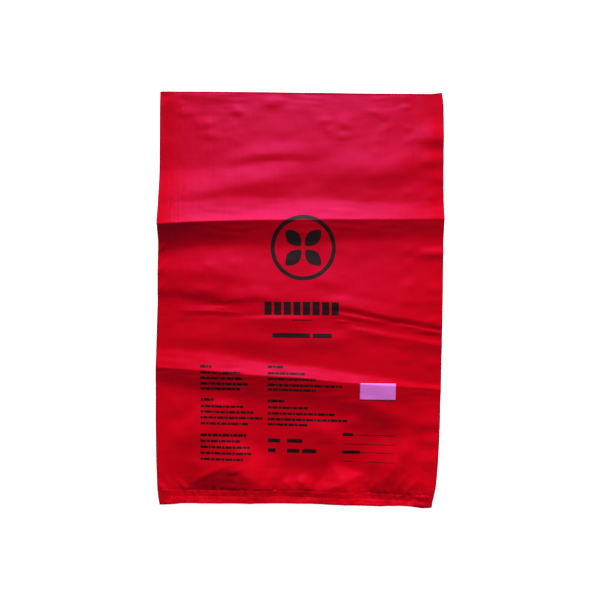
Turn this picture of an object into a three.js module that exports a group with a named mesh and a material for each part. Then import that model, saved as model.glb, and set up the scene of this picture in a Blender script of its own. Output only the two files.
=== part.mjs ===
// A lay-flat waste bag of blown plastic film, lying empty on a table with its printed side up.
// It is one tube of film: the front and back are joined by a fold along each side, a heat seal
// closes the tube above a short skirt, and the other end is an open mouth. The folds from its
// packet still stand up across it as ridges. A small indicator label is stuck to the front.
// Millimetres. X runs across the bag, Y from the hem to the mouth, Z up from the table.

import * as THREE from 'three';
import { LoftGeometry } from 'three/addons/geometries/LoftGeometry.js';

// Cut size of the bag, 12 by 18 inches, and the length that the ridges take up as it lies.
const bagWidth = 304.8;
const bagLength = 457.2;
const takenUpByFolds = 11.5;

// The film is drawn thicker than its real 0.05 mm, so that both its faces can be told apart.
const filmThickness = 0.4;

// The heat seal, and the skirt of two loose layers that hangs below it.
const sealWidth = 3.2;
const skirtDepth = 12.5;

// How far the lower end of each slanting edge lies below its higher end.
const mouthSlant = 2.2;
const hemSlant = 4.7;

// How much narrower the bag lies where the seal and the open ends draw it together.
const mouthGather = 3;
const sealGather = 7.5;
const hemGather = 14.6;
const gatherReach = 110;

// The hem lies this far to the left of the mouth.
const hemLean = 6.4;
const leanCurve = 1.8;

// Clear height between front and back in the middle of the bag, and where each changes.
const mouthLoft = 5.4;
const bodyLoft = 6.2;
const pocketLoft = 8;
const sideFoldLoft = 0.25;
const mouthReach = 30;
const sealReach = 16;
const sideCurve = 10;

// The folds from the packet: how far down each side they cross, as a share of that side,
// and how high they stand above the film around them in the middle and at the sides.
const packetFolds = [
	{ left: 0.3175, right: 0.3004, rise: 6, sideRise: 5, reach: 18 },
	{ left: 0.476, right: 0.546, rise: 1.8, sideRise: 1, reach: 12 },
	{ left: 0.6676, right: 0.7111, rise: 5.6, sideRise: 4.4, reach: 18 },
];
const foldRadius = 2.5;
const flatShareOfBack = 0.8;

// The indicator label, and its place from the right side and the hem.
const labelWidth = 38;
const labelHeight = 18;
const labelThickness = 0.3;
const labelFromRightSide = 47.5;
const labelAboveHem = 116;
const labelTurn = THREE.MathUtils.degToRad(-1.3);
const labelGap = 0.3;

// Number of faces that follow each curve.
const facesAcross = 14;
const rowsPerPanel = [9, 8, 8, 11];
const labelFacesAcross = 8;
const labelFacesUp = 6;

const redFilm = { color: 0xb8102f, roughness: 0.38, metalness: 0 };
const lilacPaper = { color: 0xc878c0, roughness: 0.6, metalness: 0 };

const lyingLength = bagLength - takenUpByFolds;
const lerp = THREE.MathUtils.lerp;

// Lines that cross the bag, as Y at a place across it: -1 is the left side, +1 the right side.
const mouthAt = (across) => lyingLength / 2 - mouthSlant * (1 + across) / 2;
const hemAt = (across) => -lyingLength / 2 + hemSlant * (1 - across) / 2;
const skirtTopAt = (across) => hemAt(across) + skirtDepth;
const sealAt = (across) => skirtTopAt(across) + sealWidth;
const foldAt = (fold) => (across) =>
	lerp(mouthAt(across), hemAt(across), lerp(fold.left, fold.right, (1 + across) / 2));

// Outline of the bag as it lies.
const shareDown = (y) => THREE.MathUtils.clamp(0.5 - y / lyingLength, 0, 1);
const middleAt = (y) => -hemLean * shareDown(y) ** leanCurve;

function widthAt(y) {
	const aboveSeal = Math.max(y - sealAt(0), 0);
	const intoSkirt = Math.max(sealAt(0) - y, 0) / (sealWidth + skirtDepth);
	const belowMouth = Math.max(mouthAt(0) - y, 0);
	const drawnBySeal = sealGather * Math.max(1 - aboveSeal / gatherReach, 0) ** 2;
	const drawnByHem = (hemGather - sealGather) * Math.min(intoSkirt, 1);
	const drawnByMouth = mouthGather * Math.exp(-belowMouth / mouthReach);
	return bagWidth - drawnBySeal - drawnByHem - drawnByMouth;
}

// Share of a fold's height that is left at a place on the bag. The crest itself is slightly rounded.
function foldProfile(fold, across, y) {
	const distance = Math.hypot(y - foldAt(fold)(across), foldRadius) - foldRadius;
	return Math.exp(-distance / fold.reach);
}

// How far the back of the bag is lifted off the table: only near the sides, where the folds cross.
function backLift(across, y) {
	const towardsSide = Math.max((Math.abs(across) - flatShareOfBack) / (1 - flatShareOfBack), 0) ** 2;
	const lifts = packetFolds.map((fold) => fold.sideRise * foldProfile(fold, across, y));
	return towardsSide * lifts.reduce((sum, lift) => sum + lift, 0);
}

// Clear height between front and back.
function clearHeight(across, y) {
	const aboveSeal = Math.max(y - sealAt(across), 0);
	const belowMouth = Math.max(mouthAt(across) - y, 0);
	const lastFold = packetFolds.at(-1);
	const belowLastFold = foldAt(lastFold)(across) - y;
	const intoPocket = THREE.MathUtils.smoothstep(belowLastFold, 0, 2 * lastFold.reach);
	const loft = lerp(bodyLoft, pocketLoft, intoPocket)
		- (bodyLoft - mouthLoft) * Math.exp(-belowMouth / mouthReach);
	const rises = packetFolds.map((fold) => fold.rise * foldProfile(fold, across, y));
	const full = rises.reduce((sum, rise) => sum + rise, loft);
	const closedBySeal = 1 - Math.exp(-aboveSeal / sealReach);
	return sideFoldLoft + full * closedBySeal * (1 - Math.abs(across) ** sideCurve);
}

const frontHeight = (across, y) => backLift(across, y) + 2 * filmThickness + clearHeight(across, y);

// One ring of the tube, along a line across the bag: along the back to the right, and along the front
// to the left. The faces are narrower towards the sides, where the film turns.
function ring(line, inset, backHeight, topHeight) {
	const back = [];
	const front = [];
	for (let i = 0; i <= facesAcross; i++) {
		const across = -Math.cos(Math.PI * i / facesAcross);
		const y = line(across);
		const x = middleAt(y) + across * (widthAt(y) / 2 - inset);
		back.push(new THREE.Vector3(x, y, backHeight(across, y)));
		front.unshift(new THREE.Vector3(x, y, topHeight(across, y)));
	}
	return [...back, ...front];
}

const outerRing = (line) => ring(line, 0, backLift, frontHeight);
const innerRing = (line) => ring(
	line,
	filmThickness,
	(across, y) => backLift(across, y) + filmThickness,
	(across, y) => frontHeight(across, y) - filmThickness,
);

// A ring round the two layers of the skirt, pressed together.
const skirtRing = (line) => ring(line, 0, () => 0, () => 2 * filmThickness);

// A ring pressed flat into a line at half height, which closes an end of the loft.
const closingRing = (line, inset) => ring(line, inset, () => filmThickness, () => filmThickness);

// The lines that the rings follow, from the mouth to the seal, closest together at the folds.
function linesDownTheBag() {
	const edges = [mouthAt, ...packetFolds.map(foldAt), sealAt];
	const lines = [mouthAt];
	rowsPerPanel.forEach((rows, panel) => {
		for (let row = 1; row <= rows; row++) {
			const share = (1 - Math.cos(Math.PI * row / rows)) / 2;
			lines.push((across) => lerp(edges[panel](across), edges[panel + 1](across), share));
		}
	});
	return lines;
}

// The film, lofted from the bottom of the inside up to the mouth and down the outside to the hem.
function filmGeometry() {
	const down = linesDownTheBag();
	const inside = [...down].reverse().map(innerRing);
	const outside = down.map(outerRing);
	return new LoftGeometry([
		closingRing(sealAt, filmThickness), ...inside,
		...outside, skirtRing(skirtTopAt), skirtRing(hemAt), closingRing(hemAt, 0),
	]);
}

// The label, bent to lie on the front of the film.
function labelGeometry() {
	const geometry = new THREE.BoxGeometry(
		labelWidth, labelHeight, labelThickness, labelFacesAcross, labelFacesUp, 1,
	);
	const middleY = hemAt(1) + labelAboveHem + labelHeight / 2;
	const rightSide = middleAt(middleY) + widthAt(middleY) / 2;
	geometry.rotateZ(labelTurn);
	geometry.translate(rightSide - labelFromRightSide - labelWidth / 2, middleY, labelThickness / 2);
	const place = geometry.getAttribute('position');
	for (let i = 0; i < place.count; i++) {
		const y = place.getY(i);
		const across = (place.getX(i) - middleAt(y)) / (widthAt(y) / 2);
		place.setZ(i, place.getZ(i) + frontHeight(across, y) + labelGap);
	}
	geometry.computeVertexNormals();
	return geometry;
}

const film = new THREE.Mesh(filmGeometry(), new THREE.MeshStandardMaterial(redFilm));
film.name = 'bag_film';

const label = new THREE.Mesh(labelGeometry(), new THREE.MeshStandardMaterial(lilacPaper));
label.name = 'indicator_label';

// The origin is under the middle of the bag's outline.
const bag = new THREE.Group();
bag.add(film, label);
const outline = new THREE.Box3().setFromObject(film);
bag.position.x = -(outline.min.x + outline.max.x) / 2;
bag.position.y = -(outline.min.y + outline.max.y) / 2;

const part = new THREE.Group();
part.add(bag);
export default part;
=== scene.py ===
# A lay-flat waste bag of thin red film, empty on a table, with plain black print and a lilac
# indicator label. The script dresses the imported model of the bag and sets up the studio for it.

import math

import bmesh
import bpy
import numpy as np
from mathutils import Matrix, Vector
from mathutils.bvhtree import BVHTree


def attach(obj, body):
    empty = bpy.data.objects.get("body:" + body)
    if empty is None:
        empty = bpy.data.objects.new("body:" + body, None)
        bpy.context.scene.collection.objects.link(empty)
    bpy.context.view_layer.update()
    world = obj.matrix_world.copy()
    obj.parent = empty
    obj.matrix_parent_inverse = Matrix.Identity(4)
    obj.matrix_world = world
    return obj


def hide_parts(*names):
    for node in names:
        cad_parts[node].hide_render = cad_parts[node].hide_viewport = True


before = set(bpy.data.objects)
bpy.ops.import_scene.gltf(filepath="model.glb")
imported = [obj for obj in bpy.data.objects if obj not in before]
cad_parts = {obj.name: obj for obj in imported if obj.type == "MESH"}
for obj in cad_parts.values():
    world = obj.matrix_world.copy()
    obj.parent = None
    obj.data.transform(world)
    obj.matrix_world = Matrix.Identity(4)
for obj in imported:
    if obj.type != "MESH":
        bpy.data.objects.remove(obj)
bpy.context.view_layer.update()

# Camera, floor and light
# The camera looks straight down on the bag from about a metre, with the mouth of the bag at the top.
# A low sun beyond the mouth shows every fold, and a softbox above it gives the film its sheen. The
# floor is plain and white, and gives off a little light of its own, as a lit table does.
# The scene is in metres, and places on the bag are given in mm.
MM = 0.001

camera_height = 1.05
camera_sensor = 36.0
picture_width = 0.6428
picture_middle = (0.0001, 0.0008, 0.0005)

camera_data = bpy.data.cameras.new("camera")
camera_data.sensor_width = camera_sensor
camera_data.lens = camera_sensor * camera_height / picture_width
camera = bpy.data.objects.new("camera", camera_data)
camera.location = Vector(picture_middle) + Vector((0, 0, camera_height))
bpy.context.scene.collection.objects.link(camera)
bpy.context.scene.camera = camera
bpy.context.scene.view_settings.view_transform = "Standard"

# The sun is left out of reflections, where it would whiten the folds in low views.
sun_height = math.radians(22)
sun_to_the_right = 0.12
sun_strength = 7.1
sun_softness = math.radians(20)
sun_white = (1.0, 0.985, 0.97)
sun_data = bpy.data.lights.new("low_sun", "SUN")
sun_data.energy = sun_strength
sun_data.angle = sun_softness
sun_data.color = sun_white
sun = bpy.data.objects.new("low_sun", sun_data)
towards_sun = Vector((sun_to_the_right, math.cos(sun_height), math.sin(sun_height)))
sun.visible_glossy = False
sun.rotation_mode = "QUATERNION"
sun.rotation_quaternion = towards_sun.to_track_quat("Z", "Y")
bpy.context.scene.collection.objects.link(sun)

softbox_place = Vector((0.0, 0.74, 0.85))
softbox_target = Vector((0, 0.15, 0))
softbox_size = 0.6
softbox_watts = 3.9
softbox_data = bpy.data.lights.new("softbox", "AREA")
softbox_data.shape = "SQUARE"
softbox_data.size = softbox_size
softbox_data.energy = softbox_watts
softbox = bpy.data.objects.new("softbox", softbox_data)
softbox.location = softbox_place
softbox.rotation_mode = "QUATERNION"
softbox.rotation_quaternion = (softbox_place - softbox_target).to_track_quat("Z", "Y")
bpy.context.scene.collection.objects.link(softbox)

room_light = 0.035
room_white = (0.97, 0.98, 1.0, 1)
room = bpy.data.worlds.new("room")
room.use_nodes = True
room_shader = room.node_tree.nodes["Background"]
room_shader.inputs["Color"].default_value = room_white
room_shader.inputs["Strength"].default_value = room_light
bpy.context.scene.world = room

floor_size = 8.0
floor_drop = 0.2
floor_white = (0.93, 0.93, 0.93, 1)
floor_glow = 0.93
floor_mesh = bmesh.new()
bmesh.ops.create_grid(floor_mesh, x_segments=1, y_segments=1, size=floor_size / 2)
bmesh.ops.translate(floor_mesh, verts=floor_mesh.verts, vec=(0, 0, -floor_drop * MM))
floor_data = bpy.data.meshes.new("floor")
floor_mesh.to_mesh(floor_data)
floor_mesh.free()
floor_paint = bpy.data.materials.new("floor_paint")
floor_paint.use_nodes = True
floor_shader = floor_paint.node_tree.nodes["Principled BSDF"]
floor_shader.inputs["Base Color"].default_value = floor_white
floor_shader.inputs["Roughness"].default_value = 0.9
floor_shader.inputs["Emission Color"].default_value = (1, 1, 1, 1)
floor_shader.inputs["Emission Strength"].default_value = floor_glow
floor_data.materials.append(floor_paint)
floor = bpy.data.objects.new("floor", floor_data)
bpy.context.scene.collection.objects.link(floor)

# The film
# The bag is one tube of blown polypropylene film, pressed flat, heat-sealed near one end and folded for
# its packet. It is drawn as a grid that is wrapped round into the tube, with the listed folds, ripples
# and wrinkles moved into it. All places are in mm: x across the bag, y towards the mouth.
film_thickness = 0.25
side_fold_gap = 0.5
front_columns = 150
back_columns = 22
side_columns = 2

# Outline of the bag: the sides as y and x, the mouth, the hem and the seal as x and y.
left_side = [
    (223, -149.5), (193, -149.9), (129, -150.4), (104, -151.3), (86, -152.2), (64, -151.2),
    (43, -152.0), (0, -152.3), (-43, -153.6), (-86, -154.4), (-128, -154.3), (-171, -153.4),
    (-193, -152.5), (-201, -152.1), (-214, -150.6), (-219, -149.4),
]
right_side = [
    (222, 152.3), (210, 153.9), (193, 154.1), (129, 153.8), (104, 154.0), (88, 154.5), (66, 153.8),
    (43, 153.5), (0, 152.7), (-43, 152.0), (-86, 151.2), (-128, 149.9), (-150, 149.0), (-171, 147.7),
    (-193, 145.8), (-201, 144.8), (-214, 141.6), (-223, 140.2),
]
mouth_edge = [
    (-150, 224.2), (-129, 223.4), (-95, 222.9), (-60, 222.4), (-9, 221.8), (25, 221.4), (60, 220.9),
    (94, 220.8), (128, 220.9), (142, 221.2), (152, 222.8),
]
hem_edge = [
    (-151, -217.7), (-140, -217.1), (-126, -216.4), (-90, -216.7), (-60, -216.1), (-15, -216.2),
    (22, -216.7), (42, -217.2), (65, -217.9), (94, -219.3), (108, -219.0), (120, -218.8), (130, -219.2),
    (141, -221.0),
]
seal_top = [(-152, -201.8), (0, -202.6), (60, -204.4), (147, -209.0)]
seal_bottom = [(-152, -205.2), (0, -206.0), (60, -207.8), (147, -212.2)]


def along(line, x):
    """Where a given line lies at a place along it."""
    line = sorted(line)
    return np.interp(x, [point[0] for point in line], [point[1] for point in line])


# The two folds from the packet, each as x, y, rise, how far its slope reaches above and below it, and
# the share of its rise that is taken by a steeper lip above the crest.
upper_fold = [
    (-152, 81.9, 9.4, 25, 30, 0.1), (-130, 82.9, 9.0, 25, 29, 0.15), (-100, 84.2, 7.9, 25, 26, 0.2),
    (-60, 85.4, 6.7, 25, 25, 0.22), (-20, 85.8, 5.6, 24, 26, 0.15), (20, 86.2, 4.8, 22, 24, 0.08),
    (50, 86.3, 4.4, 20, 22, 0.04), (110, 86.6, 4.1, 20, 21, 0), (152, 87.4, 4.0, 21, 21, 0),
]
lower_fold = [
    (-152, -71.3, 3.2, 21, 17, 0), (-130, -72.1, 3.8, 21, 20, 0), (-100, -74.3, 4.7, 20, 23, 0),
    (-70, -77.1, 5.0, 18, 25, 0), (-50, -79.0, 4.9, 16.5, 27, 0), (-20, -80.7, 4.5, 14, 29, 0),
    (0, -81.6, 4.2, 13, 30, 0), (20, -83.8, 3.9, 13, 31, 0), (40, -86.2, 3.4, 12, 31, 0),
    (64, -88.2, 2.7, 10, 28, 0), (90, -90.0, 2.1, 8, 22, 0), (105, -90.9, 1.7, 6.5, 16, 0),
    (125, -92.6, 1.3, 5.5, 11, 0), (152, -95.5, 1.1, 5, 9, 0),
]
fold_foot = 0.02
lip_share_of_reach = 0.25

# The faint fold across the middle, as x and y.
middle_fold = [(-152, -11.0), (-60, -12.8), (0, -16.5), (40, -20.5), (100, -26.0), (152, -34.8)]

upper_fold_line = [(x, y) for x, y, *_ in upper_fold]
lower_fold_line = [(x, y) for x, y, *_ in lower_fold]

# Lines across the bag that rows of the grid follow, and how many rows lie between each and the next.
panels = [
    (mouth_edge, upper_fold_line, 58),
    (upper_fold_line, middle_fold, 46),
    (middle_fold, lower_fold_line, 34),
    (lower_fold_line, seal_top, 58),
    (seal_top, seal_bottom, 7),
    (seal_bottom, hem_edge, 20),
]
rows = sum(count for _, _, count in panels)


# How soft the foot of a straight slope is, and the foot and the crest of a rounded one.
soft_foot = 0.006
round_foot = 0.03
crest_radius = 4


def straight_slope(distance, reach, softness=soft_foot):
    """One at the crest and falling evenly to nothing at the reach, with a soft foot."""
    left = 1 - distance / reach
    return (left + np.sqrt(left**2 + softness)) / (1 + math.sqrt(1 + softness))


def rounded_slope(distance, reach):
    """A straight slope whose crest and foot are rounded."""
    return straight_slope(np.hypot(distance, crest_radius) - crest_radius, reach, round_foot)


def round_slope(distance, reach):
    """A soft swell with a round crest."""
    return np.exp(-((distance / reach) ** 2))


def long_fold(fold, x, y):
    """The height that a fold right across the bag adds at x, y."""
    spots = np.array(fold, float)
    crest, rise, above, below, lip = (np.interp(x, spots[:, 0], column) for column in spots[:, 1:].T)
    up = np.maximum(y - crest, 0)
    down = np.maximum(crest - y, 0)
    lip_slope = np.exp(-up / (lip_share_of_reach * above))
    slope_above = (1 - lip) * straight_slope(up, above, fold_foot) + lip * lip_slope
    return rise * np.where(y > crest, slope_above, straight_slope(down, below, fold_foot))


def crease(spots, x, y, slope):
    """The height that a short crease adds at x, y. It runs through spots, each with its rise and with
    the reach of its slopes above and below it, seen along its run from the first spot."""
    height = np.zeros_like(x)
    nearest = np.full_like(x, np.inf)
    for (x1, y1, rise1, above1, below1), (x2, y2, rise2, above2, below2) in zip(spots, spots[1:]):
        run_x, run_y = x2 - x1, y2 - y1
        length = math.hypot(run_x, run_y)
        share = np.clip(((x - x1) * run_x + (y - y1) * run_y) / length**2, 0, 1)
        away_x, away_y = x - (x1 + share * run_x), y - (y1 + share * run_y)
        distance = np.hypot(away_x, away_y)
        is_above = run_x * away_y - run_y * away_x > 0
        above = above1 + share * (above2 - above1)
        below = below1 + share * (below2 - below1)
        reach = np.where(is_above, above, below)
        there = (rise1 + share * (rise2 - rise1)) * slope(distance, reach)
        closer = distance < nearest
        height = np.where(closer, there, height)
        nearest = np.where(closer, distance, nearest)
    return height


# Soft swells: reach above, reach below, and the spots that each runs through, as x, y and rise.
swells = [
    # By the mouth, on the left.
    (6, 4.5, [(-114, 187, 0), (-98, 188, 0.95), (-84, 188, 0)]),
    (3.2, 3.2, [(-113, 176.5, 0), (-98, 177.2, 0.8), (-83, 177, 0)]),
    (8, 4, [(-142, 200, 0), (-126, 200.5, 0.8), (-108, 201, 0.29), (-85, 203, 0)]),
    (5, 3.5, [(-76, 201, 0), (-66, 201.5, 0.58), (-57, 201.5, 0)]),
    (3.5, 5, [(-76, 195.5, 0), (-68, 196, -0.43), (-58, 196, 0)]),
    (3, 3, [(-74, 169, 0), (-66, 169.3, 0.36), (-60, 169, 0)]),
    (3, 3, [(-70, 178, 0), (-63, 178.7, 0.29), (-56, 178, 0)]),
    (4, 4, [(-108, 160, 0), (-96, 160.3, 0.43), (-86, 160, 0)]),
    (8, 6, [(-46, 214, 0), (-30, 211, 0.87), (-12, 214, 0)]),
    (5, 8, [(-125, 219, 0), (-98, 220, 0.9), (-65, 219, 0.4), (-40, 219, 0)]),
    (6, 10, [(-156, 206, 0.5), (-139, 213, 0.9), (-124, 221, 0.7)]),
    # By the mouth, on the right.
    (5, 4, [(94, 216, 0), (112, 216.5, 0.72), (125, 216, 0)]),
    (2.5, 2.5, [(104, 206, 0), (113, 206.3, 0.58), (122, 206, 0)]),
    (6, 5, [(64, 202, 0), (80, 200, 0.6), (94, 194, 0)]),
    (2, 2.5, [(84, 185.5, 0), (92, 184, 0.58), (100, 184.5, 0)]),
    (2, 2, [(79, 180.5, 0), (86, 180, 0.36), (92, 179, 0)]),
    (5, 3, [(14, 190, 0), (26, 191, 0.65), (36, 192, 0)]),
    (4, 3, [(38, 188.5, 0), (47, 188, 0.58), (57, 186.5, 0)]),
    (3, 3, [(18, 187, 0), (30, 181, 0.29), (40, 176.5, 0.43), (47, 175.3, 0.65), (56, 175, 0)]),
    (4, 3, [(74, 169.5, 0), (84, 169.3, 0.36), (94, 169, 0)]),
    (5, 4, [(70, 159.5, 0), (82, 159, 0.43), (94, 158.5, 0)]),
    (3, 3, [(108, 184, 0), (116, 183.3, 0.58), (123, 183, 0)]),
    (3.5, 3, [(109, 171, 0), (116, 170.6, 0.58), (124, 170, 0)]),
    (15, 8, [(117, 176, 0), (131, 173.5, 1.5), (142, 173, 2.4), (156, 173, 2.4)]),
    (8, 6, [(124, 150, 0), (138, 149, 1.45), (151, 150, 1.16)]),
    (5, 6, [(127, 136, 0), (140, 133, 0.72), (153, 130, 0.87)]),
    (20, 12, [(10, 140, 0), (30, 137, 0.7), (50, 136, 1.5), (80, 136.5, 2.0), (105, 141, 2.0),
              (128, 146, 1.4), (148, 150, 0.4)]),
    (16, 7, [(38, 110.5, 0), (60, 110.5, 0.6), (100, 111, 0.7), (135, 110.5, 0.6), (156, 109, 0.4)]),
    (3, 3, [(105, 115, 0), (115, 115, 0.43), (126, 115, 0)]),
    (5, 4, [(131, 112, 0), (141, 111, 0.58), (150, 110, 0)]),
    # Between the upper fold and the middle.
    (2, 2, [(-80, 40.5, 0), (-71, 40.8, 0.36), (-62, 40.5, 0)]),
    (4, 3.5, [(-108, 37, 0), (-98, 36.5, 0.58), (-86, 34, 0)]),
    (3, 4, [(-118, 30, 0), (-105, 29.5, 0.43), (-88, 26, 0)]),
    (3, 3, [(-82, 25, 0), (-70, 25, 0.29), (-60, 25, 0)]),
    (2.5, 3, [(-116, 13.5, 0), (-103, 12.2, 0.58), (-90, 11.5, 0)]),
    (2, 2, [(39, 28.5, 0), (46, 28.8, 0.29), (52, 28.5, 0)]),
    (6, 6, [(10, 22, 0), (30, 20, 0.72), (55, 15, 0)]),
    (6, 3, [(131, 11, 0), (141, 11, 0.65), (152, 11, 0.51)]),
    (3, 3, [(131, 0, 0), (141, 0.3, 0.51), (152, 0, 0.29)]),
    (3, 3, [(132, -22, 0), (141, -22, 0.51), (152, -22, 0.29)]),
    (3, 3, [(108, 54, 0), (116, 53.5, 0.51), (123, 53.5, 0)]),
    (3, 3, [(109, 39, 0), (116, 38.8, 0.43), (123, 38.5, 0)]),
    (3, 4, [(106, 17, 0), (117, 16.5, 0.65), (125, 16, 0)]),
    (4, 4, [(104, 9, 0), (114, 9, 0.43), (125, 8, 0)]),
    (4, 4, [(101, 0, 0), (114, 0, 0.58), (127, -1, 0)]),
    (12, 7, [(-153, 12, 1.59), (-125, 11.5, 1.74), (-105, 8.5, 1.89), (-85, 5, 1.59), (-72, 3.5, 1.01),
             (-60, 2, 0)]),
    # Between the middle and the lower fold.
    (5, 4, [(101, -49, 0), (112, -49, 0.51), (122, -49, 0)]),
    (5, 4, [(101, -63.5, 0), (112, -63.5, 0.43), (122, -63.5, 0)]),
    (5, 5, [(130, -68, 0), (141, -69, 0.58), (152, -69, 0.43)]),
    (12, 8, [(-156, -39, 0), (-110, -40, 0.7), (-80, -41, 1.0), (-50, -43, 0.9), (-20, -45, 0.5),
             (10, -48, 0)]),
    (8, 9, [(-12, -43, 0), (20, -42, 1.3), (45, -41, 0.9), (62, -39, 0)]),
    # Below the lower fold.
    (45, 32, [(-30, -84, 0), (20, -90, 2.3), (60, -95, 3.6), (95, -99, 3.5), (118, -100, 1.4),
              (140, -100, 0)]),
    (20, 42, [(-24, -140, 0), (5, -143, 2.2), (30, -146, 3.0), (48, -148, 1.8), (66, -150, 0)]),
    (8, 13, [(44, -109, 0), (70, -112, 1.2), (90, -118, 1.5), (105, -124, 1.0), (120, -131, 0)]),
    (6, 5, [(43, -129.5, 0), (55, -129, 0.9), (67, -130, 0)]),
    (9, 5, [(-4, -139, 0), (24, -138.5, 1.0), (46, -140, 0)]),
    (2.5, 4, [(0, -149, 0), (15, -148, 0.4), (30, -146.5, 0.6), (48, -148.5, 0)]),
    (9, 5, [(116, -133.5, 0), (132, -133, 1.3), (152, -133.5, 1.2)]),
    (6, 5, [(127, -150, 0), (141, -150.5, 1.1), (150, -150, 0.9)]),
    (9, 9, [(127, -170, 0), (140, -170, 1.3), (152, -169, 1.2)]),
    (9, 9, [(102, -161, 0), (113, -161, 1.3), (124, -160, 0)]),
    (8, 6, [(-96, -158, 0), (-76, -156.5, 1.4), (-58, -155, 0)]),
    (7, 6, [(-74, -165, 0), (-60, -162.5, 1.2), (-47, -162, 0)]),
    (6, 5, [(-90, -138, 0), (-70, -139, 0.5), (-50, -142, 0)]),
    (6, 5, [(-124, -171, 0), (-112, -173, 0.9), (-102, -176, 0)]),
    (12, 8, [(-150, -124, 0), (-130, -116, 0.9), (-108, -110, 0)]),
]

# Sharper creases with straight sides, in the same form.
sharp_creases = [
    # By the mouth.
    (16, 4.2, [(-90, 146.5, 0), (-74, 147.6, 0.6), (-58, 150.4, 1.0), (-45, 153, 1.2),
               (-25, 155.1, 1.25), (-5, 154.8, 1.0), (12, 154, 0.4), (38, 153.6, 0)]),
    (2.5, 2, [(-34, 160, 0), (-15, 160.3, 0.26), (8, 161, 0)]),
    (1.2, 2, [(68, 203, 0), (80, 201.8, 0.39), (88, 198, 0.45), (98, 193.5, 0)]),
    (1.2, 1.5, [(84, 203.5, 0), (92, 200, 0.39), (100, 196.5, 0)]),
    (1.5, 3, [(-139, 99, 0), (-133, 108, 0.45), (-124, 111, 0.45), (-113, 109, 0)]),
    # At the sides, under the upper fold.
    (4, 3, [(-154, 50, 0.78), (-147, 57, 1.17), (-142, 62, 0)]),
    (5, 3, [(-154, 27, 0.78), (-147, 35, 0.91), (-139, 45, 0)]),
    (3, 2, [(-154, 9, 0.52), (-148, 14, 0.65), (-142, 21, 0)]),
    (6, 7, [(120, 49.5, 0), (134, 50.5, 1.43), (154, 51.5, 2.34)]),
    # Across the middle.
    (11, 7, [(-80, 2, 0), (-65, 3.5, 0.9), (-50, 5, 1.2), (-38, 4, 1.0), (-25, 2, 0.4), (-12, 0, 0)]),
    (12, 6, [(18, -1, 0), (40, -4.5, 1.2), (60, -8.2, 1.3), (80, -13.5, 1.4), (95, -16.5, 1.4),
             (110, -18.8, 1.3), (130, -22.5, 1.2), (156, -28, 1.2)]),
    (2.5, 5.5, [(34, -13.5, 0), (45, -14.6, 0.5), (58, -17.2, 0.7), (72, -19.8, 0.7), (86, -22, 0.5),
                (100, -24.5, 0)]),
    (2, 4, [(34, -20.8, 0), (45, -21.6, 0.45), (56, -22.8, 0)]),
    (2.4, 5, [(94, -25.2, 0), (112, -27.2, 0.5), (130, -30.4, 0.7), (156, -35.4, 0.9)]),
    (4, 10, [(44, -27.6, 0), (56, -29.8, 0.7), (75, -33.8, 0.95), (90, -36.8, 0.9), (110, -40, 0.8),
             (135, -44.5, 1.1), (156, -47.5, 1.1)]),
    (1.5, 1.5, [(40, -22, 0), (48, -22.6, 0.2), (57, -22.8, 0)]),
    (6, 5, [(-132, -11, 0), (-124, -10.5, 0.3), (-112, -10.8, 0.7), (-97, -10.5, 0.85),
            (-80, -11.8, 0.85), (-62, -13.2, 0.4), (-50, -14, 0)]),
    (4.5, 14, [(-90, -21.5, 0), (-74, -20.8, 0.5), (-45, -19.6, 0.9), (-20, -19, 0.9), (0, -19, 0.6),
               (22, -19.5, 0)]),
]

# Broad slopes that change along their run: each spot is x, y, rise, and the reach above and below it.
broad_slopes = [
    # The swell that crosses the left half above the upper fold.
    [(-156, 108, 5.8, 25, 32), (-140, 109.5, 5.4, 25, 32), (-120, 112, 4.6, 25, 30),
     (-95, 115.5, 3.4, 23, 28), (-72, 120, 3.1, 22, 26), (-58, 123.5, 2.9, 21, 26),
     (-35, 127.5, 2.3, 21, 27), (-10, 131, 1.2, 20, 26), (12, 134, 0, 16, 22)],
    # The slope between the upper fold and the middle, and the long even fall below it.
    [(-156, 32, 2.2, 24, 16), (-100, 31, 2.4, 25, 18), (-70, 26, 2.5, 28, 24), (-40, 6, 2.8, 46, 80),
     (-10, -1, 2.6, 46, 80), (20, -2, 3.0, 46, 80), (60, -5, 3.1, 44, 80), (100, -5, 2.8, 42, 80),
     (130, -2, 2.4, 38, 70), (156, 0, 2.0, 36, 60)],
    # The bulge on the left below the lower fold.
    [(-152, -150, 0, 18, 30), (-137, -149, 1.5, 20, 40), (-124, -147, 2.5, 26, 60),
     (-107, -143, 3.0, 30, 70), (-87, -138, 2.9, 30, 70), (-68, -132, 1.4, 26, 46),
     (-54, -128, 0, 14, 40)],
    # The bright slope under the print on the left.
    [(-130, -182, 0, 12, 30), (-112, -180, 1.0, 20, 50), (-92, -178, 2.2, 22, 60),
     (-72, -178, 3.8, 23, 70), (-52, -180, 4.0, 25, 70), (-40, -181, 0.8, 20, 40),
     (-32, -185, 0, 10, 30)],
    # The broad bright slope above the wrinkles on the right.
    [(60, -170, 0, 8, 20), (75, -173, 2.0, 16, 60), (90, -174, 3.6, 24, 80), (104, -172.5, 3.6, 28, 80),
     (112, -163, 2.2, 21, 60), (119, -152, 0.8, 12, 30), (126, -144, 0, 8, 10)],
    # The gentle fall from both ends of the seal.
    [(108, -205, 0, 50, 40), (128, -205, 2.6, 60, 60), (156, -205, 4.2, 70, 80)],
    [(-156, -203, 3.8, 100, 60), (-136, -203, 2.8, 90, 50), (-118, -203, 0, 60, 30)],
]

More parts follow.
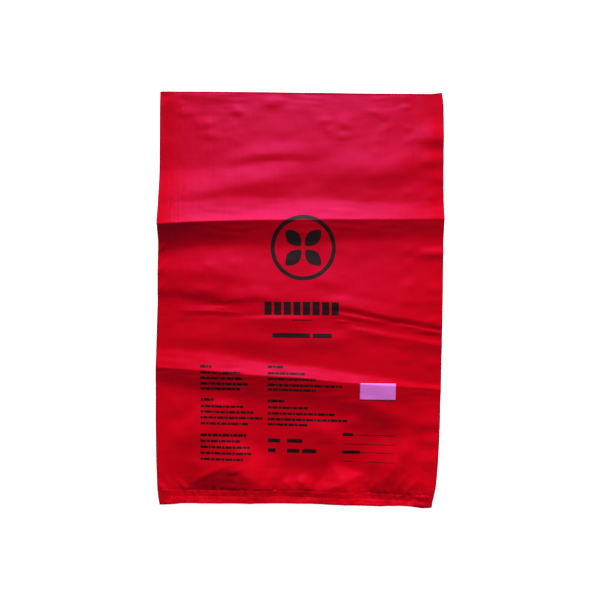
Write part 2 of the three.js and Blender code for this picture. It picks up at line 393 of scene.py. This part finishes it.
# Sharp creases whose slopes change along them, in the same form.
facets = [
    # The bulge on the left below the lower fold.
    [(-139, -150, 0, 6, 10), (-130, -140, 0.7, 7, 24), (-118, -131, 1.0, 9, 30),
     (-107, -122, 0.6, 10, 20), (-100, -116, 0, 8, 10)],
    [(-99, -108, 0, 6, 8), (-89, -112, 0.9, 8, 14), (-76, -113.3, 1.2, 9, 16), (-63, -111, 0, 6, 10)],
    # The large wrinkle above the seal on the left, with a dark hollow below it.
    [(-126, -201, 0, 10, 3), (-111, -192.5, 1.0, 16, 9), (-97, -187, 1.5, 20, 15),
     (-80, -182.5, 1.9, 24, 20), (-66, -181.5, 2.2, 26, 21), (-60, -186, 3.2, 26, 24),
     (-47, -192, 4.6, 34, 40), (-38, -198, 4.8, 34, 70), (-32, -202.5, 3.0, 28, 70),
     (-27, -206, 0, 20, 50)],
    [(-116, -193, 0, 3, 4), (-103, -186.5, 0.8, 3.5, 4), (-93, -181.8, 1.0, 4, 4),
     (-84, -179, 0.7, 4, 3), (-77, -178.3, 0, 3, 3)],
    [(-82, -183, 0, 2.5, 3), (-73, -182.4, 0.5, 3, 3), (-64, -180, 0.6, 3, 3), (-58, -177, 0, 3, 3)],
    [(-89, -174.5, 0, 2.5, 2.5), (-80, -177, 0.4, 2.5, 2.5), (-66, -178.2, 0, 2.5, 2.5)],
    # Small facets left of the middle.
    [(-27, -202, 0, 4, 6), (-20, -200, 0.9, 9, 10), (-13, -202, 0, 4, 6)],
    [(-21, -192, 0, 4, 4), (-14, -195, 2.0, 9, 10), (-7, -202.5, 1.0, 9, 10)],
    [(-7, -190, 0, 4, 6), (1, -194, 2.7, 12, 16), (9, -199, 2.0, 12, 18), (14, -204, 0, 6, 10)],
    # The large bright facet right of the middle.
    [(12, -204, 0, 4, 20), (20, -202.5, 2.2, 9, 50), (30, -200, 3.6, 14, 60), (39, -197.5, 5.0, 23, 80),
     (46, -195, 5.4, 26, 80), (52, -191.5, 4.0, 18, 70), (58, -189, 2.3, 10, 50),
     (65, -186, 0.8, 4, 20), (69, -183, 0, 4, 10)],
    [(38, -189.3, 0, 1.2, 1.2), (47, -188.6, 0.3, 1.2, 1.2), (55, -188.2, 0, 1.2, 1.2)],
    # Wrinkles that fan out from the seal on the right.
    [(67, -197, 0, 2.5, 2.5), (71, -193, 0.6, 3, 2.5), (76, -189.5, 0, 2.5, 2.5)],
    [(73, -204.5, 0, 3, 3), (78, -199, 0.8, 4, 3), (82, -192, 0.6, 4, 3), (85, -187, 0, 3, 3)],
    [(80, -208, 0, 6, 5), (86, -198, 1.4, 12, 14), (92, -188, 2.2, 15, 18), (99, -179, 1.9, 14, 16),
     (107, -170, 0, 8, 8)],
    [(99, -208, 0, 4, 4), (105, -199, 0.8, 5, 5), (111, -190, 0.8, 5, 5), (117, -181, 0, 5, 5)],
    [(107, -209.5, 0, 5, 6), (113, -203, 0.9, 7, 8), (120, -196, 0.9, 8, 8), (127, -190, 0, 5, 6)],
    # By the left corner of the seal.
    [(-152, -195, 0.4, 4, 4), (-145, -200.5, 0.9, 5, 4), (-139, -206, 0, 4, 4)],
    [(-146, -184, 0, 4, 3), (-141, -193, 0.5, 4, 3), (-137, -202, 0, 3, 3)],
    [(-133, -189, 0, 4, 3), (-127, -196, 0.9, 5, 4), (-121, -202, 0.6, 4, 3), (-116, -206, 0, 3, 3)],
]

# Four small curved dents down the left side, where the next bag in the pack was pressed on.
dent_places = (147, 168, 188, 208)
dent_reach = 1.4
dent_shape = [(-134, -4, 0), (-130, 0.5, 0.3), (-125, 2.5, 0.3), (-119, 3, 0)]
for dent_y in dent_places:
    dent = [(spot_x, dent_y + spot_y, rise) for spot_x, spot_y, rise in dent_shape]
    sharp_creases.append((dent_reach, dent_reach, dent))

# Faint waves that the film keeps from its blowing: length, direction from the x axis, start and height.
film_waves = [
    (31, 68, 0.4, 0.05), (23, 97, 1.9, 0.035), (17, 118, 3.3, 0.025), (13, 82, 5.0, 0.017),
    (19, 44, 2.6, 0.03), (11, 104, 0.9, 0.012), (8, 71, 4.2, 0.008), (37, 131, 1.2, 0.06),
    (9, 22, 3.9, 0.01),
]

# Patches of fine ripples across the bag: length, start, height, and the size of the patches in x and y.
# The ripples don't run quite straight: their bend changes slowly over the bag.
ripples = [(6.7, 0.7, 0.07, 83, 71), (8.9, 2.6, 0.08, 117, 94), (5.3, 4.4, 0.045, 61, 53)]
ripple_bend = 1.8
ripple_bend_x = 19
ripple_bend_y = 47


def waves_of_film(x, y):
    """Height of the faint waves at x, y."""
    height = np.zeros_like(x)
    for length, direction, start, rise in film_waves:
        along_wave = x * math.cos(math.radians(direction)) + y * math.sin(math.radians(direction))
        height += rise * np.sin(2 * math.pi * along_wave / length + start)
    for length, start, rise, patch_x, patch_y in ripples:
        bend = ripple_bend * np.sin(x / ripple_bend_x + y / ripple_bend_y + start)
        across_patch = np.sin(2 * math.pi * x / patch_x + start)
        up_patch = np.sin(2 * math.pi * y / patch_y + 2 * start)
        patch = np.maximum(across_patch * up_patch, 0)
        height += rise * np.sin(2 * math.pi * y / length + start + bend) * patch
    return height


def small_relief(x, y):
    """Height of the swells, creases and wrinkles of the front."""
    height = np.zeros_like(x)
    for above, below, spots in swells:
        height += crease([(*spot, above, below) for spot in spots], x, y, round_slope)
    for above, below, spots in sharp_creases:
        height += crease([(*spot, above, below) for spot in spots], x, y, straight_slope)
    for spots in broad_slopes:
        height += crease(spots, x, y, rounded_slope)
    for spots in facets:
        height += crease(spots, x, y, straight_slope)
    return height + waves_of_film(x, y)


# Clear height between front and back: everywhere, in the middle of the bag, and what the mouth takes
# off. It closes towards the seal and both sides, where the front bends down steeply to the fold. The
# folds and swells carry on to the sides and lift the back there.
least_gap = 0.4
body_loft = 6.0
mouth_loft_lost = 0.3
mouth_reach = 26
seal_reach = 80
fold_end_reach = 15
loft_power = 4
side_power = 30
side_fold_share = 0.97
side_relief_share = 0.9
flat_share_of_back = 0.8

# How far the seal is lifted off the table, as x and height. The back comes up with it, and a small gap
# is left between the layers.
seal_lift = [
    (-152, 0), (-125, 0.2), (-75, 0.2), (-58, 1.0), (-40, 2.4), (-25, 2.9), (10, 2.8), (30, 3.2),
    (50, 2.5), (72, 1.4), (100, 1.1), (120, 1.5), (147, 0.4),
]
lift_reach = 24
back_rise_reach = 8
layer_gap = 0.3

# The mouth has a thin raised lip. The skirt's lower edge curls up a little, in soft flutes, and its hem
# turns down.
mouth_lip = 0.35
mouth_lip_reach = 0.7
skirt_curl = 1.5
skirt_curl_power = 1.5
flutes = [(37, 0.9, 0.35), (17, 2.1, 0.35), (10.3, 4.0, 0.3)]
hem_drop = 0.35
hem_drop_reach = 0.5

# The bars of the sealer leave two broken grooves, and the film below them is quilted and puckers on both
# sides. Waves are given by length, start and height.
groove_depth = 0.16
groove_width = 0.9
groove_below_seal = 3
groove_breaks = [(7.1, 0.3, 0.7), (4.3, 1.1, 0.5), (11.7, 2.0, 0.6)]
quilting = [(8.9, 0.7, 0.09), (5.3, 2.9, 0.07), (15.1, 4.4, 0.09)]
quilt_length = 8.3
quilt_shift = [(19.0, 0.5, 1.6), (43.0, 2.2, 2.1)]
quilt_above_seal = 1
puckers = [(8.3, 0.4, 0.3), (5.1, 1.9, 0.22), (3.7, 3.3, 0.12)]
pucker_slant = 0.25
pucker_reach = 3.5


def waves(x, kinds):
    """Sum of even waves, each with its length, its start and its height."""
    return sum(height * np.sin(2 * math.pi * x / length + start) for length, start, height in kinds)


def groove(distance):
    """A narrow groove, given the distance from its middle line."""
    return np.exp(-((distance / groove_width) ** 2))


def film_heights(across, x, y):
    """Height of the front and of the back of the film above the table."""
    top_of_seal, bottom_of_seal, hem = along(seal_top, x), along(seal_bottom, x), along(hem_edge, x)
    above_seal = np.maximum(y - top_of_seal, 0)
    below_mouth = np.maximum(along(mouth_edge, x) - y, 0)
    from_hem = y - hem
    down_skirt = np.clip((bottom_of_seal - y) / (bottom_of_seal - hem), 0, 1)
    from_seal = np.minimum(np.abs(y - top_of_seal), np.abs(y - bottom_of_seal))

    folds = long_fold(upper_fold, x, y) + long_fold(lower_fold, x, y)
    folds = folds * (1 - np.exp(-above_seal / fold_end_reach))
    relief = small_relief(x, y)
    lift = along(seal_lift, x) * straight_slope(above_seal, lift_reach)
    loft = body_loft - mouth_loft_lost * np.exp(-below_mouth / mouth_reach)
    loft = loft * (1 - np.exp(-above_seal / seal_reach)) * (1 - np.abs(across) ** loft_power)

    pucker = waves(x + pucker_slant * y, puckers) * np.exp(-from_seal / pucker_reach)
    flute = (skirt_curl + waves(x, flutes)) * down_skirt**skirt_curl_power
    edge = mouth_lip * np.exp(-below_mouth / mouth_lip_reach)
    edge = edge - hem_drop * np.exp(-np.maximum(from_hem, 0) / hem_drop_reach)
    both_grooves = groove(y - top_of_seal) + groove(y - bottom_of_seal + groove_below_seal)
    grooves = -groove_depth * (1 + waves(x, groove_breaks)) * both_grooves
    quilt_rows = np.sin(2 * math.pi * from_hem / quilt_length + waves(x, quilt_shift))
    quilt = waves(x, quilting) * quilt_rows * (above_seal < quilt_above_seal)

    middle = loft + folds + relief + lift + pucker + least_gap + flute + edge + grooves + quilt
    side = np.abs(across) ** side_power
    side_lift = side_fold_share * folds + side_relief_share * np.maximum(relief, 0)
    front = 2 * film_thickness + side_fold_gap + (1 - side) * np.maximum(middle, 0) + side * side_lift
    near_side = np.maximum((np.abs(across) - flat_share_of_back) / (1 - flat_share_of_back), 0) ** 2
    under_seal = np.maximum(front - 2 * film_thickness - layer_gap, 0)
    under_seal = under_seal * np.exp(-above_seal / back_rise_reach)
    back = near_side * side_lift + under_seal * (1 - side)
    return front, back


# The grid has one column of faces for each step round the tube: the front from left to right, the
# right side fold, the back from right to left, and the left side fold.
columns = front_columns + back_columns + 2 * side_columns
film_mesh = bmesh.new()
bmesh.ops.create_grid(film_mesh, x_segments=columns, y_segments=rows, size=1)
film_mesh.verts.ensure_lookup_table()
flat = np.array([vert.co for vert in film_mesh.verts])
column = np.rint((flat[:, 0] + 1) / 2 * columns).astype(int)
row = np.rint((1 - flat[:, 1]) / 2 * rows).astype(int)

first_of_back = front_columns + side_columns
last_of_back = first_of_back + back_columns
on_front = column <= front_columns
on_right = (column > front_columns) & (column < first_of_back)
on_back = (column >= first_of_back) & (column <= last_of_back)
on_left = ~(on_front | on_right | on_back)

# Columns lie a little closer together towards the sides, where the film turns. A share across the bag
# is -1 at the left side and 1 at the right.
crowding = 0.6
back_step = column - first_of_back
step = np.where(on_front, 2 * column / front_columns - 1, 1 - 2 * back_step / back_columns)
step = np.where(on_right, 1, np.where(on_left, -1, step))
across = (1 - crowding) * step + crowding * np.sin(step * math.pi / 2)

# Rows follow the edges and the folds, and lie closer together beside them. The half width is that of
# the bag at the upper fold.
half_width = 153.35
rough_x = across * half_width
y = np.zeros(len(flat))
first_row = 0
for upper_line, lower_line, count in panels:
    share = np.clip((row - first_row) / count, 0, 1)
    eased = share - crowding * np.sin(2 * math.pi * share) / (2 * math.pi)
    inside = (row >= first_row) & (row <= first_row + count)
    upper_y, lower_y = along(upper_line, rough_x), along(lower_line, rough_x)
    y = np.where(inside, upper_y + eased * (lower_y - upper_y), y)
    first_row += count
left_x, right_x = along(left_side, y), along(right_side, y)
x = (left_x + right_x) / 2 + across * (right_x - left_x) / 2

# At both sides the film bulges out a little, halfway up between front and back.
side_fold_bulge = 0.25
front_z, back_z = film_heights(across, x, y)
z = np.where(on_front, front_z, back_z)
z = np.where(on_right | on_left, (front_z + back_z) / 2, z)
x = np.where(on_right, x + side_fold_bulge, np.where(on_left, x - side_fold_bulge, x))
for vert, place in zip(film_mesh.verts, np.stack([x, y, z], axis=1) * MM):
    vert.co = place

# The cut edges and the side folds are painted darker. This is painted shade, where the film turns down
# away from the light at the folds and the edges.
# The material reads the painted shade from the mesh.
edge_shade_reach = 0.8
side_shade_reach = 0.1
from_side = (1 - np.abs(across)) * (right_x - left_x) / 2
from_ends = np.minimum(along(mouth_edge, x) - y, y - along(hem_edge, x))
shade_at_ends = np.exp(-((np.maximum(from_ends, 0) / edge_shade_reach) ** 2))
edge_shade = np.maximum(from_side < side_shade_reach, shade_at_ends)
shade_layer = film_mesh.verts.layers.float.new("edge_shade")
for vert, shade in zip(film_mesh.verts, edge_shade):
    vert[shade_layer] = shade

# The last two columns lie on one another along the left side fold and are joined. Between them and the
# first column a slit of half a millimetre stays open under the edge of the front.
weld_distance = 1e-7
bmesh.ops.remove_doubles(film_mesh, verts=film_mesh.verts, dist=weld_distance)
for face in film_mesh.faces:
    face.smooth = True
film_skin = BVHTree.FromBMesh(film_mesh)


def lay_on_film(mesh, lift):
    """Drops flat shapes, drawn in mm, straight down on the film, and leaves them that far above it."""
    for vert in mesh.verts:
        vert.co *= MM
        far_above = Vector((vert.co.x, vert.co.y, 1))
        spot, *_ = film_skin.ray_cast(far_above, Vector((0, 0, -1)))
        vert.co.z = spot.z + lift * MM


film_data = bpy.data.meshes.new("film")
film_mesh.to_mesh(film_data)
film_mesh.free()
film = bpy.data.objects.new("film", film_data)
bpy.context.scene.collection.objects.link(film)
wall = film.modifiers.new("wall", "SOLIDIFY")
wall.thickness = film_thickness * MM
wall.offset = -1

# Clear red film with a half-dull shine. Fine streaks run along the bag, the way it was blown.
film_red = (0.50, 0.0003, 0.004, 1)
# The darker red below is painted shade along the cut edges and the side folds, not a colour of the film.
painted_edge_shade_red = (0.22, 0.0002, 0.004, 1)
film_roughness = 0.39
film_gloss = 1.0
film_gloss_tint = (1.0, 0.15, 0.9, 1)
streaks_per_metre = (420, 14, 1)
streak_strength = 0.35
streak_height = 0.0004
red_film = bpy.data.materials.new("red_film")
red_film.use_nodes = True
red_nodes, red_links = red_film.node_tree.nodes, red_film.node_tree.links
red_shader = red_nodes["Principled BSDF"]
red_shader.inputs["Base Color"].default_value = film_red
red_shader.inputs["Roughness"].default_value = film_roughness
red_shader.inputs["Specular IOR Level"].default_value = film_gloss
red_shader.inputs["Specular Tint"].default_value = film_gloss_tint
streak_place = red_nodes.new("ShaderNodeTexCoord")
streak_scale = red_nodes.new("ShaderNodeMapping")
streak_scale.inputs["Scale"].default_value = streaks_per_metre
streaks = red_nodes.new("ShaderNodeTexNoise")
streaks.inputs["Scale"].default_value = 1.0
streaks.inputs["Detail"].default_value = 3.0
streak_bump = red_nodes.new("ShaderNodeBump")
streak_bump.inputs["Strength"].default_value = streak_strength
streak_bump.inputs["Distance"].default_value = streak_height
red_links.new(streak_place.outputs["Object"], streak_scale.inputs["Vector"])
red_links.new(streak_scale.outputs["Vector"], streaks.inputs["Vector"])
red_links.new(streaks.outputs["Fac"], streak_bump.inputs["Height"])
red_links.new(streak_bump.outputs["Normal"], red_shader.inputs["Normal"])
# The film's red is mixed towards the darker red along the edges and side folds: painted shade, read from
# the mesh.
edge_shade_attribute = red_nodes.new("ShaderNodeAttribute")
edge_shade_attribute.attribute_name = "edge_shade"
painted_edge_shade_mix = red_nodes.new("ShaderNodeMix")
painted_edge_shade_mix.data_type = "RGBA"
painted_edge_shade_mix.inputs[6].default_value = film_red
painted_edge_shade_mix.inputs[7].default_value = painted_edge_shade_red
red_links.new(edge_shade_attribute.outputs["Fac"], painted_edge_shade_mix.inputs[0])
red_links.new(painted_edge_shade_mix.outputs[2], red_shader.inputs["Base Color"])
film_data.materials.append(red_film)

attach(film, "root")
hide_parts("bag_film")

# The indicator label
# A small lilac label of coated paper that shows whether the bag has been heated. It is stuck to the
# front, low on the right, and follows the film.
label_size = (38.0, 18.0)
label_faces = (38, 18)
label_place = (82.7, -96.7)
label_turn = math.radians(-1.3)
label_thickness = 0.15
label_lift = 0.2
label_lilac = (0.68, 0.165, 0.66, 1)

label_mesh = bmesh.new()
bmesh.ops.create_grid(label_mesh, x_segments=label_faces[0], y_segments=label_faces[1], size=0.5)
bmesh.ops.scale(label_mesh, verts=label_mesh.verts, vec=(*label_size, 1))
bmesh.ops.rotate(label_mesh, verts=label_mesh.verts, matrix=Matrix.Rotation(label_turn, 3, "Z"))
bmesh.ops.translate(label_mesh, verts=label_mesh.verts, vec=(*label_place, 0))
lay_on_film(label_mesh, label_lift)
for face in label_mesh.faces:
    face.smooth = True
label_data = bpy.data.meshes.new("indicator_label")
label_mesh.to_mesh(label_data)
label_mesh.free()
label = bpy.data.objects.new("label", label_data)
bpy.context.scene.collection.objects.link(label)
label_wall = label.modifiers.new("wall", "SOLIDIFY")
label_wall.thickness = label_thickness * MM
label_wall.offset = -1
lilac = bpy.data.materials.new("lilac_label")
lilac.use_nodes = True
lilac_shader = lilac.node_tree.nodes["Principled BSDF"]
lilac_shader.inputs["Base Color"].default_value = label_lilac
lilac_shader.inputs["Roughness"].default_value = 0.5
label_data.materials.append(lilac)

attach(label, "root")
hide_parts("indicator_label")

# The print
# One colour of black ink, printed on the front of the film. Its marks are plain: a ring with a figure
# of four leaves, a row of upright blocks, rows of short dashes, and lines to write on. Its lower part
# is turned a little with the film.
ink_black = (0.012, 0.002, 0.004, 1)
ink_gloss = 0.55
ink_lift = 0.08
patch_step = 1.2
print_turn = math.radians(-1.4)
print_mesh = bmesh.new()


def add_patch(length, width, bend):
    """Adds one patch of ink. bend gives the place of a point at a share along and across it."""
    steps_along = max(round(length / patch_step), 1)
    steps_across = max(round(width / patch_step), 1)
    grid = bmesh.ops.create_grid(print_mesh, x_segments=steps_along, y_segments=steps_across, size=0.5)
    for vert in grid["verts"]:
        vert.co.x, vert.co.y = bend(vert.co.x + 0.5, vert.co.y + 0.5)


def add_bar(start_x, end_x, middle_y, height, turn=0.0):
    """Adds a straight bar of ink from start_x, middle_y. Its turn is the slope that it runs at."""
    length = end_x - start_x

    def bend(along_share, across_share):
        """The place of a point on the bar."""
        out = along_share * length
        up = (across_share - 0.5) * height
        return start_x + out, middle_y + out * math.tan(turn) + up

    add_patch(length, height, bend)


# The ring, and the four slanting leaves inside it.
figure_middle = (3.6, 56.4)
ring_radius = 32.6
ring_stroke = 4.4
leaf_start = 3.0
leaf_end = 26.5
leaf_width = 14.5
leaf_roundness = 0.8


def bend_ring(along_share, across_share):
    """The place of a point on the ring."""
    angle = along_share * 2 * math.pi
    radius = ring_radius + (across_share - 0.5) * ring_stroke
    return figure_middle[0] + radius * math.cos(angle), figure_middle[1] + radius * math.sin(angle)


add_patch(2 * math.pi * ring_radius, ring_stroke, bend_ring)

for quarter in range(4):
    direction = (quarter + 0.5) * math.pi / 2

    def bend_leaf(along_share, across_share):
        """The place of a point on the leaf of this quarter."""
        out = leaf_start + along_share * (leaf_end - leaf_start)
        side = (across_share - 0.5) * leaf_width * math.sin(math.pi * along_share) ** leaf_roundness
        return (
            figure_middle[0] + out * math.cos(direction) - side * math.sin(direction),
            figure_middle[1] + out * math.sin(direction) + side * math.cos(direction),
        )

    add_patch(leaf_end - leaf_start, leaf_width, bend_leaf)

# A row of eight upright blocks below the ring.
block_count = 8
block_height = 14.2
block_gap = 2.4
blocks_start = -37.6
blocks_end = 41.4
blocks_middle = -8.2
blocks_fall = 0.01
block_width = (blocks_end - blocks_start + block_gap) / block_count - block_gap
for block in range(block_count):
    block_start = blocks_start + block * (block_width + block_gap)
    block_end = block_start + block_width
    add_bar(block_start, block_end, blocks_middle - blocks_fall * block_start, block_height)

# Rows of dashes. The dashes of a row have a few lengths in turn, and one that would leave too little
# room behind it reaches the row's end.
dash_lengths = (5.4, 2.6, 7.2, 4.0, 6.1, 3.2, 8.0, 2.2, 4.7)
dash_gap = 0.65
least_dash = 1
least_left_over = 2.5


def add_row(start_x, end_x, start_y, height, first_dash):
    """Adds one row of dashes. The last one ends at end_x."""
    dash_start, dash = start_x, first_dash
    while dash_start < end_x - least_dash:
        dash_end = dash_start + dash_lengths[dash % len(dash_lengths)]
        if end_x - dash_end < least_left_over:
            dash_end = end_x
        middle_y = start_y + (dash_start - start_x) * math.tan(print_turn)
        add_bar(dash_start, dash_end, middle_y, height, print_turn)
        dash_start = dash_end + dash_gap
        dash += 1


# A short row of fine dashes under the blocks.
fine_row_start = -8
fine_row_end = 12.4
fine_row_y = -20.3
fine_row_height = 1.2
add_row(fine_row_start, fine_row_end, fine_row_y, fine_row_height, 0)

# Two wide bars under that, in one line that falls to the right.
wide_bars = [(-29.4, 10.6), (13.6, 33.8)]
wide_bar_y = -36.6
wide_bar_height = 5.0
wide_bar_fall = 0.012
wide_bar_turn = math.radians(-0.7)
for bar_start, bar_end in wide_bars:
    bar_y = wide_bar_y - wide_bar_fall * (bar_start - wide_bars[0][0])
    add_bar(bar_start, bar_end, bar_y, wide_bar_height, wide_bar_turn)

# Two columns of rows, each given as its height on the bag and its right end. The first row of a group
# is a little taller.
row_height = 2.6
first_row_height = 3.0
left_start = -105.9
left_rows = [
    (-69.5, -94.2), (-75.8, -63.5), (-81.7, -61.3), (-87.7, -55.1), (-93.1, -63.5),
    (-105.0, -92.1), (-112.0, -60.5), (-117.9, -49.8), (-123.9, -40.1), (-130.2, -55.1),
    (-142.5, -57.3), (-148.9, -63.7), (-155.4, -53.0), (-161.8, -51.9), (-168.2, -60.5),
]
right_start = -34.2
right_rows = [
    (-70.1, -17.9), (-76.8, 5.3), (-82.7, 17.0), (-89.2, 44.5), (-94.2, 17.0),
    (-106.5, -16.6), (-113.5, 8.5), (-119.8, 37.0), (-126.0, 50.4), (-131.5, 8.1),
]
first_rows = (-69.5, -105.0, -142.5, -70.1, -106.5)
for start_x, print_rows in ((left_start, left_rows), (right_start, right_rows)):
    for number, (row_y, row_end) in enumerate(print_rows):
        height = first_row_height if row_y in first_rows else row_height
        add_row(start_x, row_end, row_y, height, 2 * number)

# Five thick bars under the right column, each given as its start, its end and its height on the bag.
thick_bar_height = 4.2
thick_bars = [
    (-34.2, -21.2, -148.8), (-13.8, 2.7, -149.0),
    (-34.2, -25.8, -159.4), (-13.8, -0.5, -159.7), (2.2, 17.4, -160.0),
]
for bar_start, bar_end, bar_y in thick_bars:
    add_bar(bar_start, bar_end, bar_y, thick_bar_height, print_turn)

# Four lines to write on, two of them with a bar before the line. Each is given as the start of the bar,
# the start and the end of the line, and the height on the bag.
line_stroke = 0.55
line_turn = math.radians(-1.9)
line_drop = 1.2
line_bar_height = 3.4
line_bar_drop = 0.6
lines_to_write_on = [
    (45.2, 56.5, 101.6, -141.6), (45.8, 45.8, 101.6, -151.2),
    (45.2, 64.2, 100.0, -160.6), (45.8, 45.8, 100.0, -169.8),
]
for bar_start, line_start, line_end, line_y in lines_to_write_on:
    if line_start > bar_start:
        add_bar(bar_start, line_start, line_y - line_bar_drop, line_bar_height, print_turn)
    add_bar(line_start, line_end, line_y - line_drop, line_stroke, line_turn)

lay_on_film(print_mesh, ink_lift)
for face in print_mesh.faces:
    face.smooth = True
print_data = bpy.data.meshes.new("print_ink")
print_mesh.to_mesh(print_data)
print_mesh.free()
print_ink = bpy.data.objects.new("print_ink", print_data)
bpy.context.scene.collection.objects.link(print_ink)
ink = bpy.data.materials.new("ink")
ink.use_nodes = True
ink_shader = ink.node_tree.nodes["Principled BSDF"]
ink_shader.inputs["Base Color"].default_value = ink_black
ink_shader.inputs["Roughness"].default_value = 0.5
ink_shader.inputs["Specular IOR Level"].default_value = ink_gloss
print_data.materials.append(ink)

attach(print_ink, "root")
